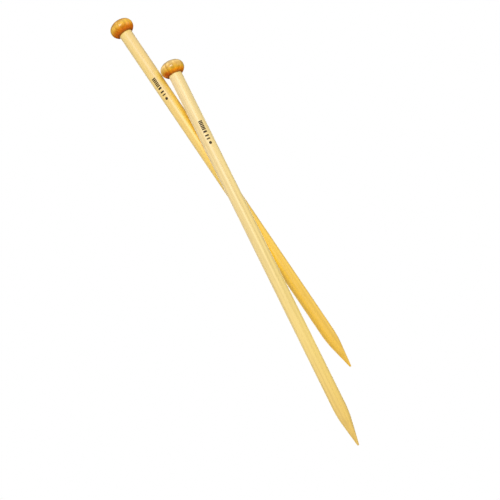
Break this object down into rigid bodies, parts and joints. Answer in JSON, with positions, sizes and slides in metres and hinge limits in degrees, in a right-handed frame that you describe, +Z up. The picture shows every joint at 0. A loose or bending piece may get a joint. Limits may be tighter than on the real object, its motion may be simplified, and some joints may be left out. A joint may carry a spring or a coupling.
{
  "type": "straight knitting needles",
  "caption": "Straight single-pointed bamboo knitting needles, lying crossed: each is a round shaft with a tapered point at one end and a glued bun-shaped wooden stop knob at the other.",
  "frame": {"origin": "centre of the pair's outline as seen from above, on the table that it lies on", "axes": "+X along the lower needle towards its point, as seen from above; +Z up from the table; +Y to the side that the upper needle's knob opens towards"},
  "size_m": [0.4229, 0.0606, 0.0369],
  "materials": {
    "bamboo": "satin",
    "amber_varnish": "gloss",
    "ink": "matte"
  },
  "bodies": {
    "lower_needle": {"lower_shaft": "bamboo", "lower_knob": "amber_varnish"},
    "upper_needle": {"upper_shaft": "bamboo", "upper_knob": "amber_varnish"}
  },
  "joints": [
    {"name": "crossing_swing", "type": "hinge", "parent": "lower_needle", "child": "upper_needle", "pos_m": [-0.0809, 0.01032, 0.01549], "axis": [0, 0, -1], "range_deg": [0, 82]}
  ]
}
